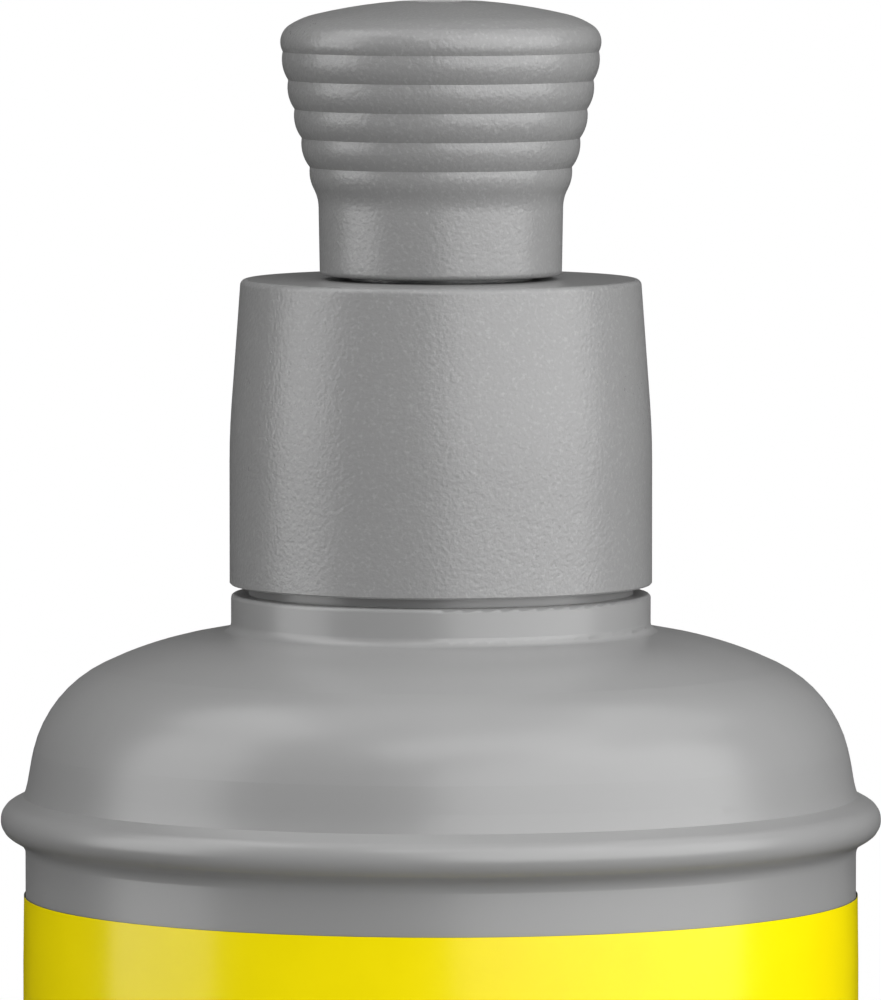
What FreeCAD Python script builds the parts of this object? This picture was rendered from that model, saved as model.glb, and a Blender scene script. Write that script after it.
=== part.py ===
import FreeCAD, Part
import math
import os

from FreeCAD import Vector

# A squeeze bottle with a screw-on push-pull closure, standing on its base.
# Millimetres, +Z up, origin on the axis at the base. Outlines are drawn in the (r, z)
# half-plane and turned about +Z; angles run anticlockwise seen from above, from +X.

# ---- Bottle body and base ----
BODY_RADIUS = 31.2
BODY_WALL = 1.2
BEAD_HEIGHT = 100.0            # base to the centre plane of the bead
HEEL_RADIUS = 6.0              # rounding between the wall and the standing ring
STANDING_RING_WIDTH = 4.5
STANDING_RING_ROUNDING = 1.0
PUSH_UP_HEIGHT = 3.0           # hollow under the base, at the axis
PINCH_OFF_LENGTH = 30.0        # weld line that the mould leaves across the base
PINCH_OFF_WIDTH = 0.9
PINCH_OFF_DROP = 0.4

# ---- Bead and shoulder ----
BEAD_NOSE_RADIUS = 1.45
BEAD_REACH = 1.86              # how far the bead stands out from the body
BEAD_UPPER_ANGLE = 28.5        # degrees that the straight flank above the nose is off level
BEAD_LOWER_ANGLE = 30.8
BEAD_LOWER_BLEND = 1.07
BEAD_HOLLOW_DEPTH = 0.9        # the same bead seen inside, blurred by the blown wall
SHOULDER_FLARE_RADIUS = 7.2    # hollow foot of the shoulder, down to its crease with the bead
SHOULDER_FLARE_REACH = 0.19    # the crease beyond the arc of the shoulder's side
SHOULDER_RISE = 14.16          # bead plane to the foot of the collar
SHOULDER_SIDE_RADIUS = 22.5
SHOULDER_KNUCKLE_RADIUS = 9.4
SHOULDER_CROWN_RADIUS = 27.4
SHOULDER_START_ANGLE = 4.5     # degrees below level where the crown leaves the collar

# ---- Collar and neck finish ----
COLLAR_RADIUS = 15.75
COLLAR_HEIGHT = 2.79
COLLAR_FOOT_BLEND = 0.7
COLLAR_EDGE = 0.3
NECK_HEIGHT = 21.05            # collar top to the sealing land
NECK_RADIUS = 12.6             # root of the thread
NECK_BORE_RADIUS = 10.6
NECK_RING_REACH = 1.83         # transfer ring, beyond the neck
NECK_RING_HEIGHT = 2.2
NECK_CHAMFER = 0.35
COLLAR_INNER_CHAMFER = 0.8

# ---- Screw thread, right-handed, one start, 6 turns to the inch ----
THREAD_PITCH = 25.4 / 6.0
THREAD_TURNS = 1.5
THREAD_DEPTH = 1.12            # ridge on the neck
THREAD_CREST_HALF_WIDTH = 0.6
THREAD_CREST_CHAMFER = 0.25
THREAD_FLANK_ANGLE = 30.0
THREAD_TOP_OFFSET = 2.4        # sealing land down to the upper end of the ridge
THREAD_RUN_OUT = 45.0          # degrees over which a ridge fades at each end
THREAD_FLANK_PLAY = 0.15       # between the loaded flanks, along the axis
THREAD_CREST_PLAY = 0.3        # crest to root, on both sides
THREAD_SINK = 0.3              # how far a ridge's root runs into its wall
THREAD_STEP = 15.0             # degrees between the sections of a ridge

# ---- Closure base ----
CLOSURE_GAP = 0.72             # open slit between the collar and the skirt
SKIRT_RADIUS = 15.85
SKIRT_STRAIGHT = 11.35         # straight part of the skirt, below its taper
SKIRT_TAPER_BLEND = 60.0
SKIRT_RIM_CHAMFER = 0.12
DECK_EDGE_RADIUS = 15.01       # outer radius of the tapered top
DECK_EDGE = 0.45
DECK_THICKNESS = 1.55
RING_CLEARANCE = 0.32          # skirt round the neck's transfer ring
RING_HEADROOM = 1.2
SEALING_WASHER_THICKNESS = 1.0
SEALING_WASHER_LAND = 2.6      # radial width of the washer
WASHER_RIM_CLEARANCE = 0.7
CLOSURE_CHAMFER = 0.3          # on the chimney's top and the valve pin

# ---- Chimney, its valve pin and the flow windows ----
CHIMNEY_RADIUS = 7.1
CHIMNEY_WALL = 1.4
CHIMNEY_WAIST = 0.25           # the chimney is slimmer below its stop ridge
STOP_RIDGE_REACH = 0.3
STOP_RIDGE_HEIGHT = 1.2
SEAL_RIDGE_REACH = 0.45
SEAL_RIDGE_LAND = 0.3          # straight part of its crest, between 45 degree ramps
SEAL_RIDGE_BELOW_TOP = 1.3
VALVE_DISC_THICKNESS = 1.4
VALVE_PIN_RADIUS = 1.93
VALVE_PIN_BELOW_TOP = 0.2
WINDOW_COUNT = 3
WINDOW_SPOKE_ANGLE = 30.0
WINDOW_RIM = 0.5
WINDOW_HUB = 1.0

# ---- Pull spout ----
SPOUT_GAP = 0.3                # lower edge to the deck, pushed home
SPOUT_TRAVEL = 5.5
SPOUT_WALL = 1.47
SPOUT_SEAL_CLEARANCE = 0.05
SPOUT_STOP_CLEARANCE = 0.15
SPOUT_DRAFT = 1.0              # degrees, skirt widening upwards
SPOUT_SKIRT_HEIGHT = 7.78      # lower edge to the lowest grip ring's crest
SPOUT_EDGE = 0.4
SPOUT_THROAT_BLEND = 3.0       # hollow between the skirt and the lowest grip ring
SNAP_RING_REACH = 0.5
SNAP_RING_LIFT = 0.8
SNAP_RING_HEIGHT = 1.1
GRIP_RINGS = 5
GRIP_PITCH = 2.1
GRIP_ARC_RADIUS = 2.84         # the bulge of each ring
GRIP_TOP_REACH = 2.83          # uppermost crest beyond the skirt
GRIP_DROP = 2.06               # uppermost crest beyond the lowest
GRIP_BOW = 0.25                # share of that drop that bends the line of crests
DOME_RISE = 1.28               # uppermost crest to the dome's widest plane
DOME_OVERHANG = 0.12           # the dome's widest plane beyond the uppermost crest
DOME_HEIGHT = 3.02
DOME_EDGE_RADIUS = 1.5
DOME_KNUCKLE_RADIUS = 6.1
DOME_CROWN_RADIUS = 41.0
DOME_FLAT_RADIUS = 3.35
CROWN_THICKNESS = 1.9          # at the flat round the orifice
CROWN_CLEARANCE = 0.35         # over the valve disc
ORIFICE_CLEARANCE = 0.07       # round the valve pin
ORIFICE_CHAMFER = 0.3

# ---- Label ----
LABEL_FILM = 0.17
LABEL_GLUE = 0.02
LABEL_HEEL_CLEARANCE = 4.0     # bare wall between the heel and the label
LABEL_BEAD_CLEARANCE = 3.15    # bare wall between the label and the bead's blend
LABEL_OVERLAP = 8.0            # along the film, at the back
LABEL_RAMP = 1.2               # where the upper layer climbs over the lower one
LABEL_SEAM_ANGLE = 90.0        # the lap lies at the back, towards +Y

# ---- Levels and radii that follow ----
collar_foot = BEAD_HEIGHT + SHOULDER_RISE
collar_top = collar_foot + COLLAR_HEIGHT
neck_top = collar_top + NECK_HEIGHT
neck_ring_radius = NECK_RADIUS + NECK_RING_REACH
thread_major_radius = NECK_RADIUS + THREAD_DEPTH
neck_thread_height = neck_top - THREAD_TOP_OFFSET - THREAD_TURNS * THREAD_PITCH

skirt_bottom = collar_top + CLOSURE_GAP
skirt_bore_radius = thread_major_radius + THREAD_CREST_PLAY
thread_overlap = THREAD_DEPTH - THREAD_CREST_PLAY
thread_lane_offset = (2.0 * THREAD_CREST_HALF_WIDTH + THREAD_FLANK_PLAY
                      + thread_overlap * math.tan(math.radians(THREAD_FLANK_ANGLE)))
closure_thread_height = neck_thread_height - thread_lane_offset
washer_radius = skirt_bore_radius - WASHER_RIM_CLEARANCE
counterbore_radius = neck_ring_radius + RING_CLEARANCE
counterbore_top = collar_top + NECK_RING_HEIGHT + RING_HEADROOM
deck_underside = neck_top + SEALING_WASHER_THICKNESS
deck_top = deck_underside + DECK_THICKNESS

spout_bore_radius = CHIMNEY_RADIUS + SEAL_RIDGE_REACH + SPOUT_SEAL_CLEARANCE
spout_skirt_radius = spout_bore_radius + SPOUT_WALL
spout_bottom = deck_top + SPOUT_GAP
lowest_crest = spout_bottom + SPOUT_SKIRT_HEIGHT
highest_crest = lowest_crest + (GRIP_RINGS - 1) * GRIP_PITCH
dome_plane = highest_crest + DOME_RISE
dome_radius = spout_skirt_radius + GRIP_TOP_REACH + DOME_OVERHANG
spout_top = dome_plane + DOME_HEIGHT
spout_ceiling = spout_top - CROWN_THICKNESS
snap_ring_bottom = spout_bottom + SNAP_RING_LIFT
snap_ring_top = snap_ring_bottom + SNAP_RING_HEIGHT

chimney_bore_radius = CHIMNEY_RADIUS - CHIMNEY_WALL
chimney_top = spout_ceiling - CROWN_CLEARANCE
stop_ridge_bottom = snap_ring_top + SPOUT_TRAVEL + SPOUT_STOP_CLEARANCE
seal_ridge_height = chimney_top - SEAL_RIDGE_BELOW_TOP


def between(start, end, distance):
    """Point at a distance from start, on the line towards end."""
    share = distance / math.dist(start, end)
    return (start[0] + share * (end[0] - start[0]), start[1] + share * (end[1] - start[1]))


def off(point, distance, degrees):
    """A point at a distance from another, at an angle above level."""
    angle = math.radians(degrees)
    return (point[0] + distance * math.cos(angle), point[1] + distance * math.sin(angle))


def circles_meet(centre_a, radius_a, centre_b, radius_b):
    """The two points where circles cross, the one to the left of a-to-b first."""
    gap = math.dist(centre_a, centre_b)
    along = (radius_a ** 2 - radius_b ** 2 + gap ** 2) / (2.0 * gap)
    aside = math.sqrt(radius_a ** 2 - along ** 2)
    foot = between(centre_a, centre_b, along)
    right = ((centre_b[0] - centre_a[0]) / gap, (centre_b[1] - centre_a[1]) / gap)
    left_point = (foot[0] - aside * right[1], foot[1] + aside * right[0])
    right_point = (foot[0] + aside * right[1], foot[1] - aside * right[0])
    return left_point, right_point


def ray_meets_circle(start, degrees, centre, radius):
    """Where a ray from outside a circle, at an angle above level, first meets it."""
    angle = math.radians(degrees)
    reach = (start[0] - centre[0], start[1] - centre[1])
    along = reach[0] * math.cos(angle) + reach[1] * math.sin(angle)
    apart = math.hypot(*reach) ** 2 - radius ** 2
    return off(start, -along - math.sqrt(along ** 2 - apart), degrees)


class Outline:
    """A chain of lines and arcs in the (r, z) half-plane, turned into a solid."""

    def __init__(self, start):
        self.start = start
        self.here = start
        self.edges = []

    def line(self, end):
        """Straight run to a point; a run of no length is left out."""
        if math.dist(self.here, end) > 1e-6:
            self.edges.append(Part.LineSegment(at(self.here), at(end)).toShape())
        self.here = end

    def arc(self, centre, end):
        """Arc about a centre to a point, the shorter way round."""
        radius = math.dist(centre, self.here)
        chord_middle = ((self.here[0] + end[0]) / 2.0, (self.here[1] + end[1]) / 2.0)
        middle = between(centre, chord_middle, radius)
        self.edges.append(Part.Arc(at(self.here), at(middle), at(end)).toShape())
        self.here = end

    def bulge(self, crest, end):
        """Arc through a crest point to an end point."""
        self.edges.append(Part.Arc(at(self.here), at(crest), at(end)).toShape())
        self.here = end

    def path(self, *corners):
        """Straight runs through (r, z) or (r, z, rounding) corners; the last is sharp."""
        for corner, following in zip(corners, corners[1:]):
            point = corner[:2]
            rounding = corner[2] if len(corner) > 2 else 0.0
            if rounding > 0.0:
                self.round_corner(point, following[:2], rounding)
            else:
                self.line(point)
        self.line(corners[-1][:2])

    def round_corner(self, corner, following, radius):
        """Run up to a corner and round it towards the point that follows."""
        turn = angle_between(self.here, corner, following)
        setback = radius / math.tan(turn / 2.0)
        entry = between(corner, self.here, setback)
        leave = between(corner, following, setback)
        chord_middle = ((entry[0] + leave[0]) / 2.0, (entry[1] + leave[1]) / 2.0)
        centre = between(corner, chord_middle, math.hypot(setback, radius))
        self.line(entry)
        self.arc(centre, leave)

    def revolve(self, degrees=360.0):
        """Close the chain and turn it about the axis."""
        self.line(self.start)
        face = Part.Face(Part.Wire(self.edges))
        return face.revolve(Vector(0, 0, 0), Vector(0, 0, 1), degrees)


def at(point):
    """A point of the half-plane as a vector."""
    return Vector(point[0], 0, point[1])


def angle_between(before, corner, after):
    """Inner angle at a corner, in radians."""
    one = math.atan2(before[1] - corner[1], before[0] - corner[0])
    two = math.atan2(after[1] - corner[1], after[0] - corner[0])
    opening = abs(one - two) % (2.0 * math.pi)
    return min(opening, 2.0 * math.pi - opening)


def pick_outer(points):
    """Of two points, the one further from the axis."""
    return max(points, key=lambda point: point[0])


def pick_upper(points):
    """Of two points, the higher one."""
    return max(points, key=lambda point: point[1])


def thread_section(wall_radius, outward, height, growth, centre_height, angle):
    """Closed section of a thread ridge at one angle, standing height off its wall."""
    slope = math.tan(math.radians(THREAD_FLANK_ANGLE))
    chamfer = THREAD_CREST_CHAMFER * growth
    half_crest = THREAD_CREST_HALF_WIDTH + slope * (THREAD_DEPTH - height)
    half_edge = half_crest + slope * chamfer
    half_root = half_crest + slope * (height + THREAD_SINK)
    corners = [
        (-THREAD_SINK, -half_root),
        (height - chamfer, -half_edge),
        (height, chamfer - half_crest),
        (height, half_crest - chamfer),
        (height - chamfer, half_edge),
        (-THREAD_SINK, half_root),
    ]
    points = []
    for lift, side in corners:
        radius = wall_radius + outward * lift
        points.append(Vector(radius * math.cos(angle), radius * math.sin(angle), centre_height + side))
    return Part.makePolygon(points + points[:1])


def thread_ridge(wall_radius, outward, first_height):
    """Helical ridge on a cylinder, outwards (1) or inwards (-1), fading in at both ends.

    first_height is the level of its centre line at angle 0, its lower end.
    """
    last_angle = 360.0 * THREAD_TURNS
    steps = round(last_angle / THREAD_STEP)
    sunk_height = -THREAD_SINK / 2.0
    sections = []
    for step in range(steps + 1):
        turned = last_angle * step / steps
        from_end = min(turned, last_angle - turned, THREAD_RUN_OUT) / THREAD_RUN_OUT
        growth = from_end ** 2 * (3.0 - 2.0 * from_end)
        height = sunk_height + growth * (THREAD_DEPTH - sunk_height)
        centre_height = first_height + THREAD_PITCH * turned / 360.0
        sections.append(thread_section(wall_radius, outward, height, 0.1 + 0.9 * growth,
                                       centre_height, math.radians(turned)))
    return Part.makeLoft(sections, True, False)


def shoulder_centres():
    """Centres of the shoulder's side, knuckle and crown arcs."""
    side = (BODY_RADIUS - SHOULDER_SIDE_RADIUS, BEAD_HEIGHT)
    start = math.radians(SHOULDER_START_ANGLE)
    crown = (COLLAR_RADIUS - SHOULDER_CROWN_RADIUS * math.sin(start),
             collar_foot - SHOULDER_CROWN_RADIUS * math.cos(start))
    knuckle = pick_outer(circles_meet(crown, SHOULDER_CROWN_RADIUS - SHOULDER_KNUCKLE_RADIUS,
                                      side, SHOULDER_SIDE_RADIUS - SHOULDER_KNUCKLE_RADIUS))
    return side, knuckle, crown


def draw_shoulder(outline, inset, end):
    """Side, knuckle and crown arcs up to a point, on the outside or inset from it."""
    side, knuckle, crown = shoulder_centres()
    outline.arc(side, between(side, knuckle, SHOULDER_SIDE_RADIUS - inset))
    outline.arc(knuckle, between(crown, knuckle, SHOULDER_CROWN_RADIUS - inset))
    outline.arc(crown, end)


def push_up_circle():
    """Centre and radius of the hollow under the base."""
    ring_inner = BODY_RADIUS - HEEL_RADIUS - STANDING_RING_WIDTH
    radius = (ring_inner ** 2 + PUSH_UP_HEIGHT ** 2) / (2.0 * PUSH_UP_HEIGHT)
    return (0.0, PUSH_UP_HEIGHT - radius), radius


def base_outline(inset):
    """New outline of the base, from the axis to the top of the heel."""
    centre, radius = push_up_circle()
    rounding = max(STANDING_RING_ROUNDING - inset, 0.0)
    ring_level = inset + rounding
    reach = math.sqrt((radius + ring_level) ** 2 - (ring_level - centre[1]) ** 2)
    ring_edge = (reach, ring_level)
    outline = Outline((0.0, PUSH_UP_HEIGHT + inset))
    outline.arc(centre, between(centre, ring_edge, radius + inset))
    if rounding > 0.0:
        outline.arc(ring_edge, (reach, inset))
    heel_centre = (BODY_RADIUS - HEEL_RADIUS, HEEL_RADIUS)
    outline.line((heel_centre[0], inset))
    outline.arc(heel_centre, (BODY_RADIUS - inset, HEEL_RADIUS))
    return outline


def bead_points():
    """The nose's centre, where its flanks leave it (upper, lower), and the crease above."""
    nose = (BODY_RADIUS + BEAD_REACH - BEAD_NOSE_RADIUS, BEAD_HEIGHT)
    upper = off(nose, BEAD_NOSE_RADIUS, 90.0 - BEAD_UPPER_ANGLE)
    lower = off(nose, BEAD_NOSE_RADIUS, BEAD_LOWER_ANGLE - 90.0)
    crease = ray_meets_circle(upper, 180.0 - BEAD_UPPER_ANGLE, shoulder_centres()[0],
                              SHOULDER_SIDE_RADIUS + SHOULDER_FLARE_REACH)
    return nose, upper, lower, crease


def lower_blend_centre():
    """Centre of the blend that joins the bead's lower flank to the wall."""
    lower = bead_points()[2]
    beside = off(lower, BEAD_LOWER_BLEND, BEAD_LOWER_ANGLE - 90.0)
    run = (beside[0] - BODY_RADIUS - BEAD_LOWER_BLEND) / math.cos(math.radians(BEAD_LOWER_ANGLE))
    return off(beside, run, 180.0 + BEAD_LOWER_ANGLE)


def draw_bead(outline):
    """The bead, blended into the wall below and creased against the flared shoulder."""
    nose, upper, lower, crease = bead_points()
    blend = lower_blend_centre()
    side = shoulder_centres()[0]
    flare = pick_upper(circles_meet(side, SHOULDER_SIDE_RADIUS + SHOULDER_FLARE_RADIUS,
                                    crease, SHOULDER_FLARE_RADIUS))
    outline.line((BODY_RADIUS, blend[1]))
    outline.arc(blend, off(blend, BEAD_LOWER_BLEND, 90.0 + BEAD_LOWER_ANGLE))
    outline.line(lower)
    outline.arc(nose, upper)
    outline.line(crease)
    outline.arc(flare, between(side, flare, SHOULDER_SIDE_RADIUS))


def bottle_outside():
    """The bottle's outer form as a filled solid, up to the sealing land."""
    crown = shoulder_centres()[2]
    foot_radius = COLLAR_RADIUS + COLLAR_FOOT_BLEND
    foot_height = crown[1] + math.sqrt((SHOULDER_CROWN_RADIUS + COLLAR_FOOT_BLEND) ** 2
                                       - (foot_radius - crown[0]) ** 2)
    foot = (foot_radius, foot_height)
    ring_top = collar_top + NECK_RING_HEIGHT
    outline = base_outline(0.0)
    draw_bead(outline)
    draw_shoulder(outline, 0.0, between(crown, foot, SHOULDER_CROWN_RADIUS))
    outline.arc(foot, (COLLAR_RADIUS, foot_height))
    outline.path((COLLAR_RADIUS, collar_top, COLLAR_EDGE),
                 (neck_ring_radius, collar_top),
                 (neck_ring_radius, ring_top - NECK_CHAMFER),
                 (neck_ring_radius - NECK_CHAMFER, ring_top),
                 (NECK_RADIUS, ring_top),
                 (NECK_RADIUS, neck_top - NECK_CHAMFER),
                 (NECK_RADIUS - NECK_CHAMFER, neck_top),
                 (0.0, neck_top))
    return outline.revolve()


def bottle_inside():
    """The bottle's cavity as a filled solid, open through the neck."""
    side, knuckle, crown = shoulder_centres()
    wall_radius = BODY_RADIUS - BODY_WALL
    half_hollow = BEAD_NOSE_RADIUS + BODY_WALL / 2.0
    side_start = side[0] + math.sqrt((SHOULDER_SIDE_RADIUS - BODY_WALL) ** 2 - half_hollow ** 2)
    collar_inner = COLLAR_RADIUS - BODY_WALL
    crown_end = crown[1] + math.sqrt((SHOULDER_CROWN_RADIUS - BODY_WALL) ** 2
                                     - (collar_inner - crown[0]) ** 2)
    step_height = collar_top - BODY_WALL
    above = neck_top + 1.0
    outline = base_outline(BODY_WALL)
    outline.line((wall_radius, BEAD_HEIGHT - half_hollow))
    outline.bulge((wall_radius + BEAD_HOLLOW_DEPTH, BEAD_HEIGHT), (side_start, BEAD_HEIGHT + half_hollow))
    draw_shoulder(outline, BODY_WALL, (collar_inner, crown_end))
    outline.path((collar_inner, step_height - COLLAR_INNER_CHAMFER),
                 (collar_inner - COLLAR_INNER_CHAMFER, step_height),
                 (NECK_BORE_RADIUS + COLLAR_INNER_CHAMFER, step_height),
                 (NECK_BORE_RADIUS, step_height + COLLAR_INNER_CHAMFER),
                 (NECK_BORE_RADIUS, neck_top - NECK_CHAMFER),
                 (NECK_BORE_RADIUS + NECK_CHAMFER + above - neck_top, above),
                 (0.0, above))
    return outline.revolve()


def pinch_off():
    """The weld line that the mould leaves across the hollow of the base."""
    centre, radius = push_up_circle()
    middle = Vector(0, 0, centre[1])
    upper = Part.makeSphere(radius + BODY_WALL / 2.0, middle)
    lower = Part.makeSphere(radius - PINCH_OFF_DROP, middle)
    strip = Part.makeBox(PINCH_OFF_LENGTH, PINCH_OFF_WIDTH, 2.0 * PUSH_UP_HEIGHT,
                         Vector(-PINCH_OFF_LENGTH / 2.0, -PINCH_OFF_WIDTH / 2.0, 0.0))
    return strip.common(upper).cut(lower)


def bottle():
    """Blown bottle: body, bead, shoulder and collar, with a threaded neck."""
    shell = bottle_outside().cut(bottle_inside())
    ridge = thread_ridge(NECK_RADIUS, 1.0, neck_thread_height)
    return shell.fuse(ridge).fuse(pinch_off())


def sealing_washer():
    """Flat ring pinched between the neck's land and the closure's deck."""
    ring = Outline((washer_radius - SEALING_WASHER_LAND, neck_top))
    ring.path((washer_radius, neck_top),
              (washer_radius, deck_underside),
              (washer_radius - SEALING_WASHER_LAND, deck_underside))
    return ring.revolve()


def draw_chimney(outline):
    """Waist, stop ridge and seal ridge of the chimney, from the deck to its top edge."""
    waist_radius = CHIMNEY_RADIUS - CHIMNEY_WAIST
    stop_radius = CHIMNEY_RADIUS + STOP_RIDGE_REACH
    seal_radius = CHIMNEY_RADIUS + SEAL_RIDGE_REACH
    outline.path((waist_radius, deck_top),
                 (waist_radius, stop_ridge_bottom),
                 (stop_radius, stop_ridge_bottom),
                 (stop_radius, stop_ridge_bottom + STOP_RIDGE_HEIGHT / 2.0),
                 (CHIMNEY_RADIUS, stop_ridge_bottom + STOP_RIDGE_HEIGHT),
                 (CHIMNEY_RADIUS, seal_ridge_height - SEAL_RIDGE_LAND / 2.0 - SEAL_RIDGE_REACH),
                 (seal_radius, seal_ridge_height - SEAL_RIDGE_LAND / 2.0),
                 (seal_radius, seal_ridge_height + SEAL_RIDGE_LAND / 2.0),
                 (CHIMNEY_RADIUS, seal_ridge_height + SEAL_RIDGE_LAND / 2.0 + SEAL_RIDGE_REACH),
                 (CHIMNEY_RADIUS, chimney_top - CLOSURE_CHAMFER))


def closure_body():
    """Skirt, deck, chimney and valve pin as one turned solid, without its thread."""
    pin_top = spout_top - VALVE_PIN_BELOW_TOP
    disc_underside = chimney_top - VALVE_DISC_THICKNESS
    step = counterbore_radius - skirt_bore_radius
    body = Outline((counterbore_radius, skirt_bottom))
    body.path((SKIRT_RADIUS - SKIRT_RIM_CHAMFER, skirt_bottom),
              (SKIRT_RADIUS, skirt_bottom + SKIRT_RIM_CHAMFER),
              (SKIRT_RADIUS, skirt_bottom + SKIRT_STRAIGHT, SKIRT_TAPER_BLEND),
              (DECK_EDGE_RADIUS, deck_top, DECK_EDGE),
              (CHIMNEY_RADIUS - CHIMNEY_WAIST, deck_top))
    draw_chimney(body)
    body.path((CHIMNEY_RADIUS - CLOSURE_CHAMFER, chimney_top),
              (VALVE_PIN_RADIUS, chimney_top),
              (VALVE_PIN_RADIUS, pin_top - CLOSURE_CHAMFER),
              (VALVE_PIN_RADIUS - CLOSURE_CHAMFER, pin_top),
              (0.0, pin_top),
              (0.0, disc_underside),
              (chimney_bore_radius, disc_underside),
              (chimney_bore_radius, deck_underside),
              (skirt_bore_radius, deck_underside),
              (skirt_bore_radius, counterbore_top),
              (counterbore_radius, counterbore_top - step),
              (counterbore_radius, skirt_bottom))
    return body.revolve()


def flow_window(start_angle):
    """Cutter for one of the openings round the valve pin."""
    inner = VALVE_PIN_RADIUS + WINDOW_HUB
    outer = chimney_bore_radius - WINDOW_RIM
    low = chimney_top - 2.0 * VALVE_DISC_THICKNESS
    high = chimney_top + VALVE_DISC_THICKNESS
    cutter = Outline((inner, low))
    cutter.path((outer, low), (outer, high), (inner, high))
    segment = cutter.revolve(360.0 / WINDOW_COUNT - WINDOW_SPOKE_ANGLE)
    segment.rotate(Vector(0, 0, 0), Vector(0, 0, 1), start_angle)
    return segment


def closure():
    """Screw cap whose chimney carries the pull spout and the pin that stops it."""
    body = closure_body()
    for window in range(WINDOW_COUNT):
        body = body.cut(flow_window(360.0 * window / WINDOW_COUNT))
    return body.fuse(thread_ridge(skirt_bore_radius, -1.0, closure_thread_height))


def grip_centre(ring):
    """Centre of the arc of one grip ring, counted down from the dome."""
    share = ring / (GRIP_RINGS - 1)
    drop = GRIP_DROP * ((1.0 - GRIP_BOW) * share + GRIP_BOW * share ** 2)
    crest_radius = spout_skirt_radius + GRIP_TOP_REACH - drop
    return (crest_radius - GRIP_ARC_RADIUS, highest_crest - ring * GRIP_PITCH)


def throat_centre(ring_centre):
    """Centre of the hollow that joins the drafted skirt to the lowest grip ring."""
    start = off((spout_skirt_radius, spout_bottom), SPOUT_THROAT_BLEND, -SPOUT_DRAFT)
    return ray_meets_circle(start, 90.0 - SPOUT_DRAFT, ring_centre, GRIP_ARC_RADIUS + SPOUT_THROAT_BLEND)


def draw_grip(outline):
    """Drafted skirt, hollow throat and the bulging grip rings, up to the dome's edge."""
    centres = [grip_centre(ring) for ring in range(GRIP_RINGS)]
    throat = throat_centre(centres[-1])
    skirt_end = off(throat, SPOUT_THROAT_BLEND, 180.0 - SPOUT_DRAFT)
    outline.path((spout_skirt_radius, spout_bottom, SPOUT_EDGE), skirt_end)
    outline.arc(throat, between(centres[-1], throat, GRIP_ARC_RADIUS))
    for ring in range(GRIP_RINGS - 1, 0, -1):
        groove = pick_outer(circles_meet(centres[ring], GRIP_ARC_RADIUS,
                                         centres[ring - 1], GRIP_ARC_RADIUS))
        outline.arc(centres[ring], groove)
    edge_centre = (dome_radius - DOME_EDGE_RADIUS, dome_plane)
    groove = pick_outer(circles_meet(centres[0], GRIP_ARC_RADIUS, edge_centre, DOME_EDGE_RADIUS))
    outline.arc(centres[0], groove)


def draw_dome(outline):
    """Edge, knuckle and crown of the dome, in to the flat round the orifice."""
    edge = (dome_radius - DOME_EDGE_RADIUS, dome_plane)
    crown = (0.0, spout_top - math.sqrt(DOME_CROWN_RADIUS ** 2 - DOME_FLAT_RADIUS ** 2))
    knuckle = pick_upper(circles_meet(crown, DOME_CROWN_RADIUS - DOME_KNUCKLE_RADIUS,
                                      edge, DOME_KNUCKLE_RADIUS - DOME_EDGE_RADIUS))
    outline.arc(edge, between(knuckle, edge, DOME_KNUCKLE_RADIUS))
    outline.arc(knuckle, between(crown, knuckle, DOME_CROWN_RADIUS))
    outline.arc(crown, (DOME_FLAT_RADIUS, spout_top))


def spout():
    """Push-pull spout: gripped outside, sliding on the chimney, with a pinned orifice."""
    orifice_radius = VALVE_PIN_RADIUS + ORIFICE_CLEARANCE
    snap_radius = spout_bore_radius - SNAP_RING_REACH
    lead = SNAP_RING_HEIGHT / 3.0
    body = Outline((spout_bore_radius, spout_bottom))
    draw_grip(body)
    draw_dome(body)
    body.path((orifice_radius + ORIFICE_CHAMFER, spout_top),
              (orifice_radius, spout_top - ORIFICE_CHAMFER),
              (orifice_radius, spout_ceiling),
              (spout_bore_radius, spout_ceiling),
              (spout_bore_radius, snap_ring_top),
              (snap_radius, snap_ring_top),
              (snap_radius, snap_ring_bottom + lead),
              (spout_bore_radius, snap_ring_bottom),
              (spout_bore_radius, spout_bottom))
    return body.revolve()


def label():
    """Film wrapped once round the body, its end lapped over its start at the back."""
    bottom = HEEL_RADIUS + LABEL_HEEL_CLEARANCE
    height = lower_blend_centre()[1] - LABEL_BEAD_CLEARANCE - bottom
    inner = BODY_RADIUS + LABEL_GLUE
    single = inner + LABEL_FILM
    double = single + LABEL_FILM
    half_lap = math.degrees(LABEL_OVERLAP / 2.0 / single)
    ramp = math.degrees(LABEL_RAMP / single)
    lap_end = LABEL_SEAM_ANGLE + half_lap
    lap_start = LABEL_SEAM_ANGLE - half_lap
    front = LABEL_SEAM_ANGLE + 180.0
    around = Part.Arc(around_axis(single, lap_end, bottom), around_axis(single, front, bottom),
                      around_axis(single, lap_start - ramp, bottom))
    climb = Part.LineSegment(around_axis(single, lap_start - ramp, bottom),
                             around_axis(double, lap_start, bottom))
    lap = Part.Arc(around_axis(double, lap_start, bottom),
                   around_axis(double, LABEL_SEAM_ANGLE, bottom),
                   around_axis(double, lap_end, bottom))
    step = Part.LineSegment(around_axis(double, lap_end, bottom), around_axis(single, lap_end, bottom))
    film = Part.Face(Part.Wire([curve.toShape() for curve in (around, climb, lap, step)]))
    core = Part.makeCylinder(inner, height, Vector(0, 0, bottom))
    return film.extrude(Vector(0, 0, height)).cut(core)


def around_axis(radius, degrees, level):
    """A point at a radius, an angle and a level."""
    angle = math.radians(degrees)
    return Vector(radius * math.cos(angle), radius * math.sin(angle), level)


def save(name, shape):
    """Write one piece as parts/NAME.step, as a single checked solid."""
    solid = shape.Solids[0]
    print(name, "solids", len(shape.Solids), "valid", solid.isValid(), "volume", round(solid.Volume, 1))
    solid.exportStep("parts/" + name + ".step")


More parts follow.
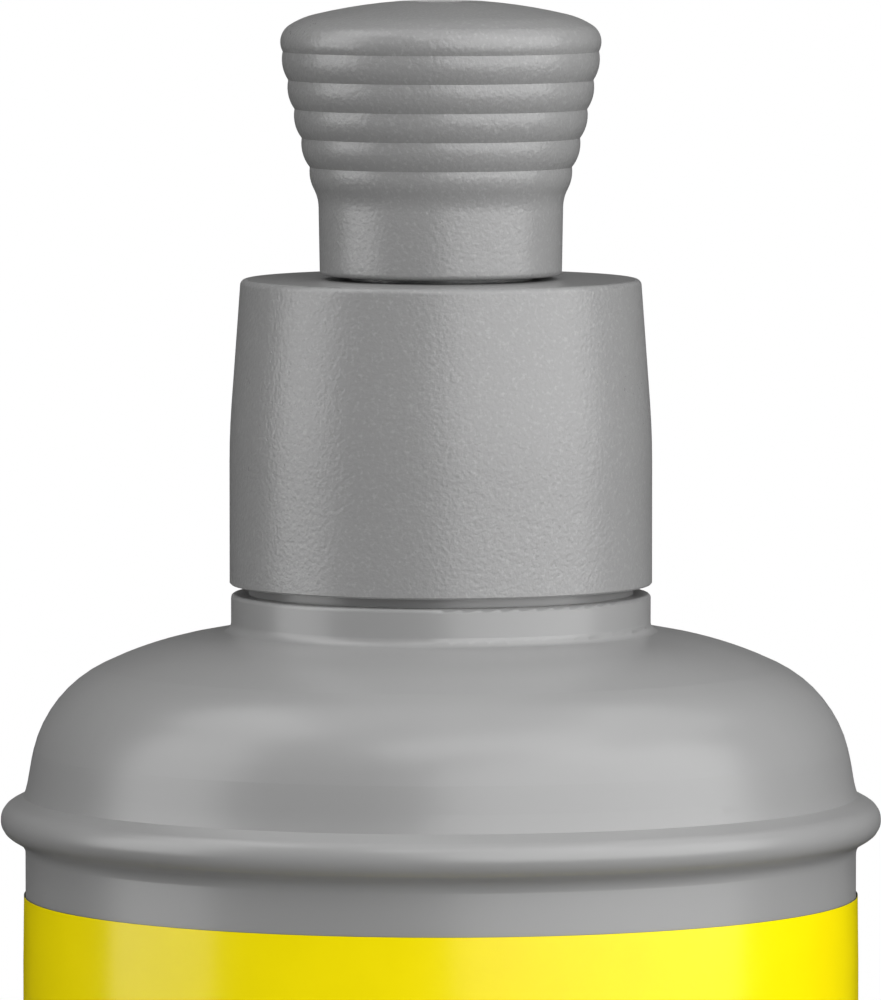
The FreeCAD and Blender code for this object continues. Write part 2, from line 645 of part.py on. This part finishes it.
def main():
    """Build every piece in its place and write it."""
    os.makedirs("parts", exist_ok=True)
    save("bottle", bottle())
    save("label", label())
    save("sealing_washer", sealing_washer())
    save("closure", closure())
    save("spout", spout())


main()
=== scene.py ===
"""Looks of a push-pull squeeze bottle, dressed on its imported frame.

Lengths are metres in the frame's axes: +Z up, the bottle's axis on Z, its front towards -Y.
"""

import logging
import math
from dataclasses import dataclass, field, replace
from enum import Enum
from typing import Any, Union

import bmesh
import bpy
from mathutils import Matrix, Vector


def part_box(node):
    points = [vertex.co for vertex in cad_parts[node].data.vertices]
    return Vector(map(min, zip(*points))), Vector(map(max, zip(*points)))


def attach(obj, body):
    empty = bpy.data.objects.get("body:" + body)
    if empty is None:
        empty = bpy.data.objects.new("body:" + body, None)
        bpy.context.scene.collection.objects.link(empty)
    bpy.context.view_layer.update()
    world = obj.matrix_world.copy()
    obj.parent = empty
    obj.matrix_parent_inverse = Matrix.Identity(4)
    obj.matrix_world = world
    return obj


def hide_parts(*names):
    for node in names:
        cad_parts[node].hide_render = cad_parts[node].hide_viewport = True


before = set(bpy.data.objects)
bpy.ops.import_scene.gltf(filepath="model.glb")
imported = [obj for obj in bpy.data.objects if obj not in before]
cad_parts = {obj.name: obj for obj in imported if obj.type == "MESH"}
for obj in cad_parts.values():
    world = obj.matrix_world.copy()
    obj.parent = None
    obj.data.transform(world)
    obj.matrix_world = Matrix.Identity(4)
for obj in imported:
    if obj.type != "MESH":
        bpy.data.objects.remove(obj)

Colour = tuple[float, float, float]    # scene linear values
Span = tuple[float, float]
Number = Union[float, "Signal"]
Tint = Union[Colour, "Signal"]

MM = 0.001
ORIGIN = (0.0, 0.0, 0.0)
UP = (0.0, 0.0, 1.0)
OPERATOR_SENSE = -1.0              # the operators count angles about +Z clockwise from above
SAME_PLACE = 0.01 * MM             # corners nearer than this to a level or radius lie on it
MERGE_REACH = 0.001 * MM           # corners nearer than this to each other become one
BLACK: Colour = (0.0, 0.0, 0.0)
WHITE: Colour = (1.0, 1.0, 1.0)
NOISE_MIDDLE = 0.5
NOISE_SPAN: Span = (0.3, 0.7)      # nearly all of a noise lies between these
GRAIN_SEED = 4.0                   # the seeds differ, so that no two patterns are alike
MOTTLE_SEED = 9.0
SPECK_SEED = 3.0
LOG = logging.getLogger("bottle")


class Ray(Enum):
    """Kind of a ray, by the name of its output on the Light Path node."""

    CAMERA = "Is Camera Ray"
    DIFFUSE = "Is Diffuse Ray"
    GLOSSY = "Is Glossy Ray"
    TRANSMISSION = "Is Transmission Ray"


def srgb(red: float, green: float, blue: float) -> Colour:
    """Turn a display colour into scene linear values.

    Args:
        red: the first channel, from 0 to 255 like the other two.
        green: the second channel.
        blue: the third channel.

    Returns:
        The colour.
    """

    def linear(value: float) -> float:
        """One channel, by the display curve."""
        share = value / 255.0
        return share / 12.92 if share <= 0.04045 else ((share + 0.055) / 1.055) ** 2.4

    return linear(red), linear(green), linear(blue)


# ---------------------------------------------------------------- shader graphs


@dataclass(frozen=True)
class Signal:
    """A shader socket that takes part in arithmetic; each operation adds a Math node."""

    graph: "Graph"
    socket: bpy.types.NodeSocket

    def maths(self, operation: str, *values: Number) -> "Signal":
        """Apply one Math operation to values, or to this signal alone if there are none.

        Args:
            operation: the Math node's operation.
            values: the node's inputs in order, numbers or signals.

        Returns:
            The node's result.
        """
        inputs = dict(enumerate(values or (self,)))
        return self.graph.add("ShaderNodeMath", {"operation": operation}, inputs)

    def __add__(self, other: Number) -> "Signal":
        """self + other."""
        return self.maths("ADD", self, other)

    def __radd__(self, other: Number) -> "Signal":
        """other + self."""
        return self.maths("ADD", other, self)

    def __sub__(self, other: Number) -> "Signal":
        """self - other."""
        return self.maths("SUBTRACT", self, other)

    def __rsub__(self, other: Number) -> "Signal":
        """other - self."""
        return self.maths("SUBTRACT", other, self)

    def __mul__(self, other: Number) -> "Signal":
        """self * other."""
        return self.maths("MULTIPLY", self, other)

    def __rmul__(self, other: Number) -> "Signal":
        """other * self."""
        return self.maths("MULTIPLY", other, self)

    def ramp(self, low: float, high: float) -> "Signal":
        """Rise smoothly from 0 to 1.

        Args:
            low: value at which the rise begins.
            high: value at which it ends.

        Returns:
            The ramped signal.
        """
        settings = {"interpolation_type": "SMOOTHSTEP"}
        inputs = {"Value": self, "From Min": low, "From Max": high, "To Min": 0.0, "To Max": 1.0}
        return self.graph.add("ShaderNodeMapRange", settings, inputs)

    def swing(self, amount: float) -> "Signal":
        """Turn a noise into a change of about half the amount up and down."""
        return (self - NOISE_MIDDLE) * amount


class Graph:
    """The node tree of one material or world, with a single output node."""

    MIX_SHARE = 0                  # the Mix node's colour sockets, whose names repeat
    MIX_FIRST = 6
    MIX_SECOND = 7
    MIX_RESULT = 2

    def __init__(self, tree: bpy.types.NodeTree, output_kind: str) -> None:
        """Empty the tree and give it one output node.

        Args:
            tree: the material's or the world's node tree.
            output_kind: type of the output node.
        """
        self.tree = tree
        self.tree.nodes.clear()
        self.output = tree.nodes.new(output_kind)

    def add(self, kind: str, settings: dict[str, Any], inputs: dict[Any, Any],
            output: Union[int, str] = 0) -> Signal:
        """Add a node.

        Args:
            kind: the node's type.
            settings: its own properties, set before its sockets.
            inputs: values or signals by socket name or number.
            output: name or number of the output that is wanted.

        Returns:
            That output as a signal.
        """
        node = self.tree.nodes.new(kind)
        for name, value in settings.items():
            setattr(node, name, value)
        for key, value in inputs.items():
            if isinstance(value, Signal):
                self.tree.links.new(value.socket, node.inputs[key])
            else:
                node.inputs[key].default_value = value
        return Signal(self, node.outputs[output])

    def finish(self, kind: str, inputs: dict[Any, Any]) -> None:
        """Add the last shader and connect it to the output node."""
        shader = self.add(kind, {}, inputs)
        self.tree.links.new(shader.socket, self.output.inputs["Surface"])

    def ray(self, kind: Ray) -> Signal:
        """1 for rays of a kind, and 0 for the others."""
        return self.add("ShaderNodeLightPath", {}, {}, kind.value)

    def point(self) -> Signal:
        """The place on the object, in metres from its origin."""
        return self.add("ShaderNodeTexCoord", {}, {}, "Object")

    def height(self, point: Signal) -> Signal:
        """The Z part of a point."""
        return self.add("ShaderNodeSeparateXYZ", {}, {"Vector": point}, "Z")

    def from_axis(self, point: Signal) -> Signal:
        """Distance of a point from the Z axis."""
        level = self.add("ShaderNodeVectorMath", {"operation": "MULTIPLY"},
                         {0: point, 1: (1.0, 1.0, 0.0)})
        return self.add("ShaderNodeVectorMath", {"operation": "LENGTH"}, {0: level}, "Value")

    def noise(self, point: Signal, size: float, detail: float = 2.0, seed: float = 0.0) -> Signal:
        """Noise from about 0 to 1.

        Args:
            point: where it is read.
            size: width of its blotches, in metres.
            detail: octaves of finer noise laid over it.
            seed: picks the pattern.

        Returns:
            The noise value.
        """
        inputs = {"Vector": point, "W": seed, "Scale": 1.0 / size, "Detail": detail}
        return self.add("ShaderNodeTexNoise", {"noise_dimensions": "4D"}, inputs)

    def mix_colour(self, share: Number, first: Tint, second: Tint) -> Signal:
        """Blend two colours.

        Args:
            share: how much of the second there is, from 0 to 1.
            first: the colour at a share of 0.
            second: the colour at a share of 1.

        Returns:
            The blend.
        """
        settings = {"data_type": "RGBA", "clamp_factor": True}
        inputs = {
            self.MIX_SHARE: share,
            self.MIX_FIRST: opaque(first),
            self.MIX_SECOND: opaque(second),
        }
        return self.add("ShaderNodeMix", settings, inputs, self.MIX_RESULT)

    def bump(self, height: Signal, distance: float) -> Signal:
        """A normal tilted by a height signal, whose full swing is distance metres deep."""
        inputs = {"Strength": 1.0, "Distance": distance, "Height": height}
        return self.add("ShaderNodeBump", {}, inputs)


def opaque(colour: Tint) -> Any:
    """Add full alpha to a plain colour, and leave a signal as it is."""
    return colour if isinstance(colour, Signal) else (*colour, 1.0)


def new_material(name: str) -> tuple[bpy.types.Material, Graph]:
    """Add a material.

    Args:
        name: what it is called.

    Returns:
        The material and its graph, which is still empty.
    """
    made = bpy.data.materials.new(name)
    made.use_nodes = True
    return made, Graph(made.node_tree, "ShaderNodeOutputMaterial")


# ---------------------------------------------------------------- finishes


@dataclass(frozen=True)
class MouldedPlastic:
    """Opaque coloured plastic with a fine texture from its mould."""

    name: str
    colour: Colour
    grain_size: float              # width of one grain of the texture
    grain_depth: float
    grain_shine: float             # how far the grain moves the roughness
    painted_glint: float = 0.0             # share by which the grain's specks are painted paler, as glints
    painted_glint_span: Span = (0.5, 0.76)  # noise at which a painted glint begins and is full
    roughness: float = 0.30
    specular: float = 0.64         # strength of the gloss, 0.5 at a refractive index of 1.5
    mottle: float = 0.01           # share by which the colour drifts over the piece
    mottle_size: float = 9.0 * MM
    mottle_detail: float = 3.0     # octaves of finer drift
    mottle_shine: float = 0.08     # how far the drift moves the roughness

    def material(self) -> bpy.types.Material:
        """Build the plastic's material.

        Returns:
            The material.
        """
        made, graph = new_material(self.name)
        point = graph.point()
        grain = graph.noise(point, self.grain_size, seed=GRAIN_SEED)
        drift = graph.noise(point, self.mottle_size, self.mottle_detail, MOTTLE_SEED)
        lighter = tuple(min(channel * (1.0 + self.mottle), 1.0) for channel in self.colour)
        darker = tuple(channel * (1.0 - self.mottle) for channel in self.colour)
        tint = graph.mix_colour(drift.ramp(*NOISE_SPAN), darker, lighter)
        # painted glints: the grain's specks are mixed towards white
        if self.painted_glint:
            painted_glint_specks = graph.noise(point, self.grain_size).ramp(*self.painted_glint_span)
            tint = graph.mix_colour(painted_glint_specks * self.painted_glint, tint, WHITE)
        shine = self.roughness + grain.swing(self.grain_shine) + drift.swing(self.mottle_shine)
        inputs = {
            "Base Color": tint,
            "Roughness": shine,
            "Specular IOR Level": self.specular,
            "Normal": graph.bump(grain, self.grain_depth),
        }
        graph.finish("ShaderNodeBsdfPrincipled", inputs)
        return made


@dataclass(frozen=True)
class PrintedFilm:
    """Self-adhesive film printed in one flat colour under a varnish."""

    name: str
    colour: Colour
    painted_edge_shade: Colour            # painted shade on the cut edges
    edge_start: float = 0.02 * MM  # from a cut edge, where the painted shade sets in
    edge_full: float = 0.004 * MM  # from a cut edge, where the painted shade is full
    roughness: float = 0.20
    specular: float = 0.305        # strength of the gloss, 0.5 at a refractive index of 1.5
    ripple_size: float = 6.0 * MM  # width of the faint waves of the stretched film
    ripple_depth: float = 0.003 * MM
    painted_trough_shade: float = 0.97      # share of the colour left in their troughs, as painted shade
    ripple_shine: float = 0.06     # how far they move the roughness
    speck_size: float = 0.35 * MM  # width of the varnish's specks
    speck_detail: float = 1.0      # octaves of finer specks
    speck_shine: float = 0.04      # how far they move the roughness

    def material(self, bottom: float, top: float) -> bpy.types.Material:
        """Build the film's material.

        Args:
            bottom: level of the lower cut edge.
            top: level of the upper cut edge.

        Returns:
            The material.
        """
        made, graph = new_material(self.name)
        point = graph.point()
        waves = graph.noise(point, self.ripple_size)
        speck = graph.noise(point, self.speck_size, self.speck_detail, SPECK_SEED)
        # painted shade: the troughs of the waves are darker
        painted_trough_colour = tuple(channel * self.painted_trough_shade for channel in self.colour)
        tint = graph.mix_colour(waves.ramp(*NOISE_SPAN), painted_trough_colour, self.colour)
        # painted shade: a thin band along each cut edge is mixed towards a dark colour
        from_middle = (graph.height(point) - (bottom + top) / 2.0).maths("ABSOLUTE")
        half = (top - bottom) / 2.0
        cut = from_middle.ramp(half - self.edge_start, half - self.edge_full)
        tint = graph.mix_colour(cut, tint, self.painted_edge_shade)
        shine = self.roughness + waves.swing(self.ripple_shine) + speck.swing(self.speck_shine)
        inputs = {
            "Base Color": tint,
            "Roughness": shine,
            "Specular IOR Level": self.specular,
            "Normal": graph.bump(waves, self.ripple_depth),
        }
        graph.finish("ShaderNodeBsdfPrincipled", inputs)
        return made


@dataclass(frozen=True)
class FoamedPlastic:
    """Soft closed-cell foam with small cells on its cut faces."""

    name: str
    colour: Colour
    cell_size: float = 0.35 * MM
    cell_depth: float = 0.05 * MM
    cell_span: Span = (0.1, 0.6)   # of a cell's size out from its middle, where the shade grows
    painted_cell_shade: float = 0.86        # share of the colour left between the cells, as painted shade
    roughness: float = 0.62        # at a cell's middle
    cell_shine: float = 0.2        # how much rougher it is a cell's size away

    def material(self) -> bpy.types.Material:
        """Build the foam's material.

        Returns:
            The material.
        """
        made, graph = new_material(self.name)
        inputs = {"Vector": graph.point(), "Scale": 1.0 / self.cell_size}
        cell = graph.add("ShaderNodeTexVoronoi", {"feature": "F1"}, inputs, "Distance")
        # painted shade: the colour is darker between the cells, where the bump is low
        shade = tuple(channel * self.painted_cell_shade for channel in self.colour)
        inputs = {
            "Base Color": graph.mix_colour(cell.ramp(*self.cell_span), self.colour, shade),
            "Roughness": self.roughness + cell * self.cell_shine,
            "Normal": graph.bump(1.0 - cell, self.cell_depth),
        }
        graph.finish("ShaderNodeBsdfPrincipled", inputs)
        return made


BOTTLE_PLASTIC = MouldedPlastic("satin_grey_plastic", srgb(145, 145, 145),
                                grain_size=0.5 * MM, grain_depth=0.001 * MM, grain_shine=0.02)
# the closure's and the spout's plastic carry painted glints on their grain
CLOSURE_PLASTIC = MouldedPlastic("sandblasted_grey_plastic", srgb(139, 139, 139),
                                 grain_size=0.3 * MM, grain_depth=0.05 * MM, grain_shine=0.08,
                                 painted_glint=0.068)
SPOUT_PLASTIC = replace(CLOSURE_PLASTIC, name="sandblasted_grey_spout_plastic",
                        colour=srgb(138, 138, 138))
# the label's cut edges get painted shade
LABEL_FILM = PrintedFilm("yellow_label_film", (0.955, 0.785, 0.001), painted_edge_shade=srgb(58, 58, 44))
WASHER_FOAM = FoamedPlastic("white_washer_foam", srgb(232, 230, 222))


# ---------------------------------------------------------------- sub-assemblies


def dress(node: str, material: bpy.types.Material) -> None:
    """Give a carried-over piece its material.

    Args:
        node: the piece's name in the frame.
        material: what it is dressed in.
    """
    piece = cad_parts[node]
    piece.data.materials.clear()
    piece.data.materials.append(material)
    LOG.info("%s dressed in %s", node, material.name)


@dataclass
class LabelWrap:
    """The film round the body: one turn from its start at the back, lapped over it at the end."""

    finish: PrintedFilm
    seam: float = 90.0             # degrees, where the middle of the lap lies
    lap: float = 8.0 * MM          # along the film
    climb: float = 1.2 * MM        # along the film, where the end rises over the start
    edge_height: float = 5.0 * MM  # band along a cut edge that is pressed down
    edge_squeeze: float = 0.06 * MM
    step: float = 2.0              # degrees between the film's sections
    sharpest: float = 30.0         # degrees between faces that are still shaded as one

    def build(self) -> None:
        """Wrap the film, dress it and let it stand for the plain one."""
        low, high = (Vector(corner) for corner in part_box("label"))
        outer = high.x
        film = high.y - outer
        bottom, top = low.z, high.z
        half_lap = math.degrees(self.lap / 2.0 / outer)
        climb = math.degrees(self.climb / outer)
        self.start_section(outer - film, outer, bottom, top)
        self.turn_section(self.seam - half_lap)
        self.sweep(360.0 - climb)
        self.rise(climb, (outer + film) / outer)
        self.sweep(2.0 * half_lap)
        bpy.ops.mesh.select_all(action="SELECT")
        bpy.ops.mesh.remove_doubles(threshold=MERGE_REACH)
        bpy.ops.mesh.normals_make_consistent(inside=False)
        bpy.ops.object.mode_set(mode="OBJECT")
        wrap = bpy.context.object
        wrap.name = "label_wrap"
        bpy.ops.object.shade_smooth_by_angle(angle=math.radians(self.sharpest))
        wrap.data.materials.append(self.finish.material(bottom, top))
        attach(wrap, "bottle")
        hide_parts("label")
        LOG.info("label_wrap: %d faces", len(wrap.data.polygons))

    def start_section(self, inner: float, outer: float, bottom: float, top: float) -> None:
        """Stand the film's section up along +X, with its edge bands cut and squeezed.

        Args:
            inner: radius of the side that is stuck down.
            outer: radius of the printed side.
            bottom: level of the lower cut edge.
            top: level of the upper cut edge.
        """
        bpy.ops.object.select_all(action="DESELECT")
        middle = ((inner + outer) / 2.0, 0.0, (bottom + top) / 2.0)
        upright = (math.pi / 2.0, 0.0, 0.0)
        bpy.ops.mesh.primitive_plane_add(size=1.0, location=middle, rotation=upright)
        bpy.ops.object.transform_apply(location=True, rotation=True, scale=True)
        bpy.ops.object.mode_set(mode="EDIT")
        bpy.ops.mesh.select_all(action="SELECT")
        bpy.ops.transform.resize(value=(outer - inner, 1.0, top - bottom), center_override=middle)
        for level in (bottom + self.edge_height, top - self.edge_height):
            bpy.ops.mesh.select_all(action="SELECT")
            bpy.ops.mesh.bisect(plane_co=(0.0, 0.0, level), plane_no=UP)
        self.squeeze_edges(outer, bottom, top)
        bpy.ops.mesh.select_all(action="SELECT")

    def squeeze_edges(self, outer: float, bottom: float, top: float) -> None:
        """Press the printed side's two cut edges towards the body.

        Args:
            outer: radius of the printed side.
            bottom: level of the lower cut edge.
            top: level of the upper cut edge.
        """
        mesh = bmesh.from_edit_mesh(bpy.context.object.data)
        for corner in mesh.verts:
            from_edge = min(abs(corner.co.z - bottom), abs(corner.co.z - top))
            corner.select = from_edge < SAME_PLACE and abs(corner.co.x - outer) < SAME_PLACE
        mesh.select_flush_mode()
        bmesh.update_edit_mesh(bpy.context.object.data)
        bpy.ops.transform.translate(value=(-self.edge_squeeze, 0.0, 0.0))

    def turn_section(self, degrees: float) -> None:
        """Turn what is selected about the bottle's axis, anticlockwise from above."""
        turn = math.radians(degrees) * OPERATOR_SENSE
        bpy.ops.transform.rotate(value=turn, orient_axis="Z", center_override=ORIGIN)

    def sweep(self, degrees: float) -> None:
        """Carry the film's end round the bottle's axis in even steps.

        Args:
            degrees: how far, anticlockwise from above.
        """
        turn = math.radians(degrees) * OPERATOR_SENSE
        steps = max(round(degrees / self.step), 1)
        bpy.ops.mesh.spin(steps=steps, angle=turn, center=ORIGIN, axis=UP)

    def rise(self, degrees: float, growth: float) -> None:
        """Carry the film's end on in one step, and outwards with it.

        Args:
            degrees: how far, anticlockwise from above.
            growth: what its radius is multiplied by.
        """
        bpy.ops.mesh.extrude_region_move()
        self.turn_section(degrees)
        bpy.ops.transform.resize(value=(growth, growth, 1.0), center_override=ORIGIN)


@dataclass
class Container:
    """The blown bottle and the film wrapped round it."""

    shell_finish: MouldedPlastic = BOTTLE_PLASTIC
    film: LabelWrap = field(default_factory=lambda: LabelWrap(LABEL_FILM))

    def build(self) -> None:
        """Dress the shell and wrap its label."""
        dress("bottle", self.shell_finish.material())
        self.film.build()


@dataclass
class Cap:
    """The screw closure, the washer under its deck and the spout on its chimney."""

    closure_finish: MouldedPlastic = CLOSURE_PLASTIC
    spout_finish: MouldedPlastic = SPOUT_PLASTIC
    washer_finish: FoamedPlastic = WASHER_FOAM

    def build(self) -> None:
        """Dress the three pieces."""
        dress("closure", self.closure_finish.material())
        dress("spout", self.spout_finish.material())
        dress("sealing_washer", self.washer_finish.material())


# ---------------------------------------------------------------- studio


@dataclass(frozen=True)
class Softbox:
    """A flat diffuse lamp on a stand, turned to face a point on the bottle's axis."""

    name: str
    azimuth: float                 # degrees round from the camera's side, to the right
    elevation: float               # degrees up, from the point that it faces
    distance: float                # from that point
    width: float
    height: float
    radiance: float
    faces: float = 120.0 * MM      # level of the point on the axis
    gloss: bool = True             # whether it is mirrored in the gloss

    def build(self) -> None:
        """Add the lamp."""
        lamp = bpy.data.lights.new(self.name, "AREA")
        lamp.shape = "RECTANGLE"
        lamp.size = self.width
        lamp.size_y = self.height
        lamp.energy = self.radiance * math.pi * self.width * self.height
        stand = bpy.data.objects.new(self.name, lamp)
        bpy.context.scene.collection.objects.link(stand)
        level_turn = Matrix.Rotation(math.radians(self.azimuth), 4, "Z")
        tilt = Matrix.Rotation(math.radians(90.0 - self.elevation), 4, "X")
        reach = Matrix.Translation((0.0, 0.0, self.distance))
        stand.matrix_world = Matrix.Translation((0.0, 0.0, self.faces)) @ level_turn @ tilt @ reach
        stand.visible_camera = False
        stand.visible_glossy = self.gloss


@dataclass
class Studio:
    """Floor, surroundings, lamps and camera."""

    aim_height: float = 123.95 * MM
    aim_offset: float = -0.026 * MM
    camera_distance: float = 888.75 * MM
    camera_pitch: float = 3.9729   # degrees down
    lens: float = 426.6            # millimetres, as is the sensor's width
    sensor: float = 36.0
    sight: float = 50.0            # nothing further off is drawn
    sheen: float = 0.02            # share of the white surroundings that the gloss shows
    bounce: float = 0.28           # share of light that the floor throws back at the bottle
    paleness: float = 0.8          # share of light that the camera sees the floor throw back
    floor_radius: float = 3.0
    floor_corners: int = 96
    shadow_radius: float = 0.10    # the floor keeps its shadows up to here
    white_radius: float = 0.36     # and is plain white from here on
    lamps: list[Softbox] = field(default_factory=lambda: [
        # name, azimuth, elevation, distance, width, height, radiance
        Softbox("right_softbox", 46.7, 17.0, 0.60, 1.23, 0.64, 2.66),
        Softbox("left_softbox", -82.0, 15.0, 0.60, 0.43, 0.58, 2.5),
        Softbox("left_top_softbox", -92.0, 54.0, 0.60, 0.40, 0.26, 2.0),
        Softbox("right_top_softbox", 98.0, 52.0, 0.60, 0.40, 0.30, 1.2),
        Softbox("front_softbox", 20.0, 57.0, 0.80, 0.80, 0.30, 2.4),
        Softbox("overhead_softbox", 0.0, 90.0, 0.80, 0.90, 0.50, 0.75),
        Softbox("back_fill", 180.0, 15.0, 0.70, 0.70, 0.50, 1.7, gloss=False),
    ])

    def build(self) -> None:
        """Set up everything round the bottle."""
        self.floor()
        self.surroundings()
        for lamp in self.lamps:
            lamp.build()
        self.camera()
        bpy.context.scene.view_settings.view_transform = "Standard"

    def floor(self) -> None:
        """A plain pale floor: it keeps the shadow near the bottle and is white further off."""
        bpy.ops.object.select_all(action="DESELECT")
        bpy.ops.mesh.primitive_circle_add(vertices=self.floor_corners, radius=self.floor_radius,
                                          fill_type="NGON")
        ground = bpy.context.object
        ground.name = "floor"
        made, graph = new_material("pale_floor")
        seen = graph.ray(Ray.CAMERA)
        away = graph.from_axis(graph.point())
        white = seen * away.ramp(self.shadow_radius, self.white_radius)
        share = seen * self.paleness + graph.ray(Ray.DIFFUSE) * self.bounce + self.reflected(graph)
        tint = graph.mix_colour(share, BLACK, WHITE)
        matt = graph.add("ShaderNodeBsdfDiffuse", {}, {"Color": tint})
        glow = graph.add("ShaderNodeEmission", {}, {"Color": opaque(WHITE), "Strength": 1.0})
        graph.finish("ShaderNodeMixShader", {0: white, 1: matt, 2: glow})
        ground.data.materials.append(made)

    def surroundings(self) -> None:
        """White to the camera, and dark to the object but for what its gloss shows."""
        world = bpy.data.worlds.new("studio")
        bpy.context.scene.world = world
        world.use_nodes = True
        graph = Graph(world.node_tree, "ShaderNodeOutputWorld")
        strength = graph.ray(Ray.CAMERA) + self.reflected(graph)
        graph.finish("ShaderNodeBackground", {"Color": opaque(WHITE), "Strength": strength})

    def reflected(self, graph: Graph) -> Signal:
        """How much of its white a surface shows to glossy and transmitted rays."""
        return (graph.ray(Ray.GLOSSY) + graph.ray(Ray.TRANSMISSION)) * self.sheen

    def camera(self) -> None:
        """A long lens that looks slightly down at the bottle's upper half."""
        pitch = math.radians(self.camera_pitch)
        lens = bpy.data.cameras.new("camera")
        lens.sensor_width = self.sensor
        lens.lens = self.lens
        lens.clip_end = self.sight
        view = bpy.data.objects.new("camera", lens)
        bpy.context.scene.collection.objects.link(view)
        view.location = (self.aim_offset,
                         -self.camera_distance * math.cos(pitch),
                         self.aim_height + self.camera_distance * math.sin(pitch))
        view.rotation_euler = (math.pi / 2.0 - pitch, 0.0, 0.0)
        bpy.context.scene.camera = view


def main() -> None:
    """Build the pieces and the studio."""
    logging.basicConfig(level=logging.INFO, format="%(message)s")
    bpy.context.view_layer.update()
    for part in (Container(), Cap(), Studio()):
        part.build()
        LOG.info("%s finished", type(part).__name__)


if __name__ == "__main__":
    main()
